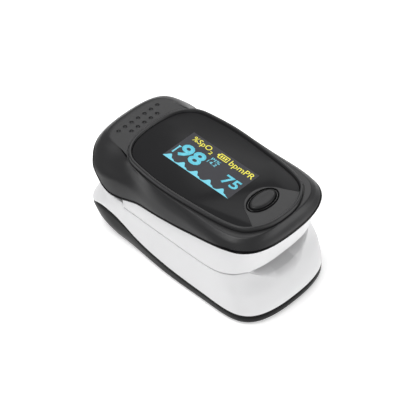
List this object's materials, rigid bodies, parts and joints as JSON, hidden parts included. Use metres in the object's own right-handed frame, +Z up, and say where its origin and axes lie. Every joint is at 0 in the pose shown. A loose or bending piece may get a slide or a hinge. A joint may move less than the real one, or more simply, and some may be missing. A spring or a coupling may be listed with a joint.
{
  "type": "fingertip pulse oximeter",
  "caption": "Two-part spring clip for a fingertip with a lit display, a power button, soft finger pads and a sliding battery door.",
  "frame": {"origin": "under the middle of the object, at the height of its flat underside", "axes": "+Z up out of the display, +Y from the finger opening to the tail grip, +X across to the right"},
  "size_m": [0.0332, 0.0589, 0.0278],
  "materials": {
    "cover_black": "fine matte texture",
    "window_gloss": "polished, nearly opaque smoke",
    "oled_glass": "polished display glass",
    "foam_black": "closed-cell foam",
    "board_green": "solder mask",
    "chip_black": "moulded epoxy",
    "part_tan": "ceramic",
    "switch_metal": "stamped",
    "switch_black": "moulded",
    "frame_white": "satin gloss",
    "pad_grey": "soft silicone",
    "led_clear": "clear epoxy",
    "sensor_clear": "clear plastic window",
    "flex_amber": "polyimide film",
    "screw_steel": "zinc plated",
    "battery_can": "printed steel can",
    "contact_nickel": "nickel plated",
    "pin_steel": "ground steel"
  },
  "bodies": {
    "base": {"lower_frame": "frame_white", "bottom_cover": "cover_black", "battery_left": "battery_can", "battery_right": "battery_can", "battery_springs": "contact_nickel", "battery_plates": "contact_nickel", "battery_bridge": "contact_nickel", "lower_finger_pad": "pad_grey", "detector_board": "board_green", "detector_sensor": "chip_black", "detector_window": "sensor_clear", "hinge_pin": "pin_steel", "clip_spring": "pin_steel", "lower_screws": "screw_steel"},
    "upper": {"top_cover": "cover_black", "display_window": "window_gloss", "oled_display": "oled_glass", "oled_foam": "foam_black", "main_board": "board_green", "microcontroller": "chip_black", "board_parts": "part_tan", "tact_switch": "switch_metal", "upper_frame": "frame_white", "upper_finger_pad": "pad_grey", "emitter_board": "board_green", "emitter_leds": "led_clear", "emitter_window": "sensor_clear", "flex_cable": "flex_amber", "upper_screws": "screw_steel"},
    "button": {"power_button": "cover_black"},
    "plunger": {"switch_plunger": "switch_black"},
    "door": {"battery_door": "cover_black"}
  },
  "joints": [
    {"name": "clip_hinge", "type": "hinge", "parent": "base", "child": "upper", "pos_m": [0, 0.014, 0.0148], "axis": [-1, 0, 0], "range_deg": [0, 18], "stiffness_Nm_per_rad": 0.25, "springref_deg": -20.05, "deforming": ["clip_spring"]},
    {"name": "button_press", "type": "slide", "parent": "upper", "child": "button", "axis": [0, 0, -1], "range_m": [0, 0.0004], "stiffness_N_per_m": 400},
    {"name": "switch_press", "type": "slide", "parent": "upper", "child": "plunger", "axis": [0, 0, -1], "range_m": [0, 0.0004]},
    {"name": "battery_door_slide", "type": "slide", "parent": "base", "child": "door", "axis": [0, 1, 0], "range_m": [0, 0.044]}
  ],
  "couplings": [
    {"joint": "switch_press", "follows": "button_press", "ratio": 1}
  ]
}
